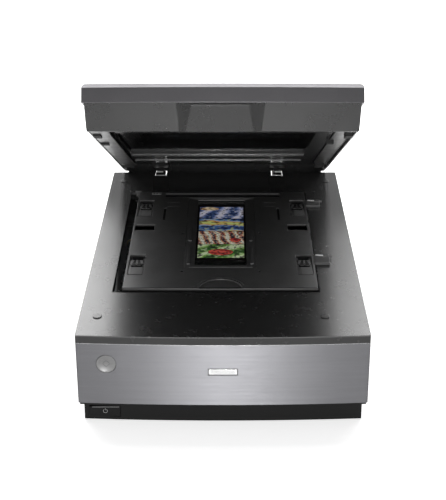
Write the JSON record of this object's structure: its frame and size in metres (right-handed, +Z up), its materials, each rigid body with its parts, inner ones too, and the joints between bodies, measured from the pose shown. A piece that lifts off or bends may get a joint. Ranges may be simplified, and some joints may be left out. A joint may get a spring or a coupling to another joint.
{
  "type": "flatbed scanner",
  "caption": "Flatbed film and document scanner with a wide brushed front panel, hinged lid lamp unit held open, and a film holder lying in the recess over its glass.",
  "frame": {"origin": "middle of the model's bounding box at floor level, with the lid held open as at rest", "axes": "+X to the right seen from the front, +Y to the rear, +Z up"},
  "size_m": [0.308, 0.5208, 0.3447],
  "materials": {
    "case_black": "fine moulded texture, satin",
    "deck_graphite": "satin moulded plastic, glossier towards the hinge",
    "panel_silver": "horizontally brushed, satin",
    "platen_glass": "clear and polished",
    "lid_glass": "dark and polished",
    "support_glass": "finely etched",
    "rubber_black": "matte",
    "bumper_grey": "matte",
    "steel": "ground",
    "chrome": "polished",
    "zinc_plate": "zinc plated sheet",
    "board_green": "solder resist",
    "socket_black": "moulded",
    "white_plastic": "moulded",
    "lamp_white": "opal",
    "bronze": "sintered",
    "brass": "machined",
    "mirror": "silvered",
    "lens_black": "anodised barrel",
    "button_grey": "satin, dished",
    "cap_grey": "satin metallic grey",
    "skirt_graphite": "satin metallic graphite",
    "underside_graphite": "fine moulded texture",
    "holder_graphite": "fine moulded texture",
    "film": "colour transparency film",
    "tab_grey": "smoky moulded plastic"
  },
  "bodies": {
    "case": {"base_tray": "case_black", "upper_cover": "deck_graphite", "front_panel": "panel_silver", "platen_glass": "platen_glass", "glass_gasket": "rubber_black", "calibration_strip": "white_plastic", "rear_plate": "zinc_plate", "circuit_boards": "board_green", "dc_inlet": "socket_black", "usb_socket": "steel", "lid_cable_socket": "socket_black", "rubber_feet": "rubber_black", "base_screws": "zinc_plate", "deck_bumpers": "bumper_grey", "guide_rod": "steel", "rod_clamps": "socket_black", "support_rail": "zinc_plate", "drive_motor": "zinc_plate", "motor_bracket": "zinc_plate", "idler_bracket": "zinc_plate", "tension_spring": "steel", "drive_belt": "rubber_black", "hinge_sockets": "case_black"},
    "posts": {"hinge_posts": "chrome", "hinge_pins": "steel"},
    "lid": {"lid_cap": "cap_grey", "lid_skirt": "skirt_graphite", "lid_inner_frame": "underside_graphite", "lid_window": "lid_glass", "lid_feet": "rubber_black", "lid_hinge_arms": "case_black", "lid_screws": "zinc_plate", "lid_guide_rod": "steel", "lid_motor": "zinc_plate", "lid_belt": "rubber_black"},
    "lid_drive_pulley": {"lid_drive_pulley": "white_plastic"},
    "lid_idler_pulley": {"lid_idler_pulley": "white_plastic"},
    "lamp_unit": {"lamp_carriage": "socket_black", "lamp_light_bar": "lamp_white"},
    "carriage": {"carriage_frame": "socket_black", "carriage_lamp": "lamp_white", "carriage_mirrors": "mirror", "scan_lenses": "lens_black", "sensor_board": "board_green", "carriage_bushes": "bronze"},
    "motor_pinion": {"motor_pinion": "brass"},
    "drive_pulley": {"drive_pulley": "white_plastic"},
    "idler_pulley": {"idler_pulley": "white_plastic"},
    "start_button": {"start_button": "button_grey"},
    "power_button": {"power_button": "case_black"},
    "transport_lock": {"transport_lock": "holder_graphite"},
    "holder": {"holder_frame": "holder_graphite", "film_support": "support_glass", "film_strip": "film", "holder_tabs": "tab_grey"},
    "film_cover": {"holder_cover": "holder_graphite"},
    "adjuster_front_left": {"adjuster_front_left": "holder_graphite"},
    "adjuster_front_right": {"adjuster_front_right": "holder_graphite"},
    "adjuster_rear_left": {"adjuster_rear_left": "holder_graphite"},
    "adjuster_rear_right": {"adjuster_rear_right": "holder_graphite"}
  },
  "joints": [
    {"name": "hinge_lift", "type": "slide", "parent": "case", "child": "posts", "axis": [0, 0, 1], "range_m": [0, 0.03]},
    {"name": "lid_hinge", "type": "hinge", "parent": "posts", "child": "lid", "pos_m": [0, 0.2295, 0.101], "axis": [-1, 0, 0], "range_deg": [-25.5, 50]},
    {"name": "lamp_travel", "type": "slide", "parent": "lid", "child": "lamp_unit", "axis": [0, -0.9026, 0.4305], "range_m": [0, 0.28]},
    {"name": "lid_drive_spin", "type": "hinge", "parent": "lid", "child": "lid_drive_pulley", "pos_m": [-0.108, -0.14011, 0.3133], "axis": [0, 0.4305, 0.9026], "range_deg": [-2744, 0]},
    {"name": "lid_idler_spin", "type": "hinge", "parent": "lid", "child": "lid_idler_pulley", "pos_m": [-0.108, 0.16768, 0.1665], "axis": [0, 0.4305, 0.9026], "range_deg": [-2744, 0]},
    {"name": "carriage_travel", "type": "slide", "parent": "case", "child": "carriage", "axis": [0, -1, 0], "range_m": [0, 0.29]},
    {"name": "drive_pulley_spin", "type": "hinge", "parent": "case", "child": "drive_pulley", "pos_m": [-0.106, -0.1775, 0.037], "axis": [0, 0, 1], "range_deg": [-1980, 0]},
    {"name": "motor_pinion_spin", "type": "hinge", "parent": "case", "child": "motor_pinion", "pos_m": [-0.096, -0.19516, 0.033], "axis": [0, 0, 1], "range_deg": [0, 4617]},
    {"name": "idler_pulley_spin", "type": "hinge", "parent": "case", "child": "idler_pulley", "pos_m": [-0.106, 0.1965, 0.04], "axis": [0, 0, 1], "range_deg": [-1980, 0]},
    {"name": "start_press", "type": "slide", "parent": "case", "child": "start_button", "axis": [0, 1, 0], "range_m": [0, 0.001], "stiffness_N_per_m": 600, "springref_m": -0.001},
    {"name": "power_press", "type": "slide", "parent": "case", "child": "power_button", "axis": [0, 1, 0], "range_m": [0, 0.001], "stiffness_N_per_m": 600, "springref_m": -0.001},
    {"name": "lock_slide", "type": "slide", "parent": "case", "child": "transport_lock", "axis": [1, 0, 0], "range_m": [0, 0.008]},
    {"name": "holder_lift", "type": "slide", "parent": "case", "child": "holder", "axis": [0, -0.8387, 0.5446], "range_m": [0, 0.24]},
    {"name": "cover_hinge", "type": "hinge", "parent": "holder", "child": "film_cover", "pos_m": [-0.0035, 0.1231, 0.10625], "axis": [-1, 0, 0], "range_deg": [0, 35]},
    {"name": "adjuster_front_left_slide", "type": "slide", "parent": "holder", "child": "adjuster_front_left", "axis": [0, 1, 0], "range_m": [0, 0.01]},
    {"name": "adjuster_front_right_slide", "type": "slide", "parent": "holder", "child": "adjuster_front_right", "axis": [0, 1, 0], "range_m": [0, 0.01]},
    {"name": "adjuster_rear_left_slide", "type": "slide", "parent": "holder", "child": "adjuster_rear_left", "axis": [0, 1, 0], "range_m": [0, 0.01]},
    {"name": "adjuster_rear_right_slide", "type": "slide", "parent": "holder", "child": "adjuster_rear_right", "axis": [0, 1, 0], "range_m": [0, 0.01]}
  ],
  "couplings": [
    {"joint": "drive_pulley_spin", "follows": "carriage_travel", "rad_per_m": -119.05},
    {"joint": "idler_pulley_spin", "follows": "carriage_travel", "rad_per_m": -119.05},
    {"joint": "motor_pinion_spin", "follows": "carriage_travel", "rad_per_m": 277.78},
    {"joint": "lid_drive_spin", "follows": "lamp_travel", "rad_per_m": -170.94},
    {"joint": "lid_idler_spin", "follows": "lamp_travel", "rad_per_m": -170.94}
  ]
}
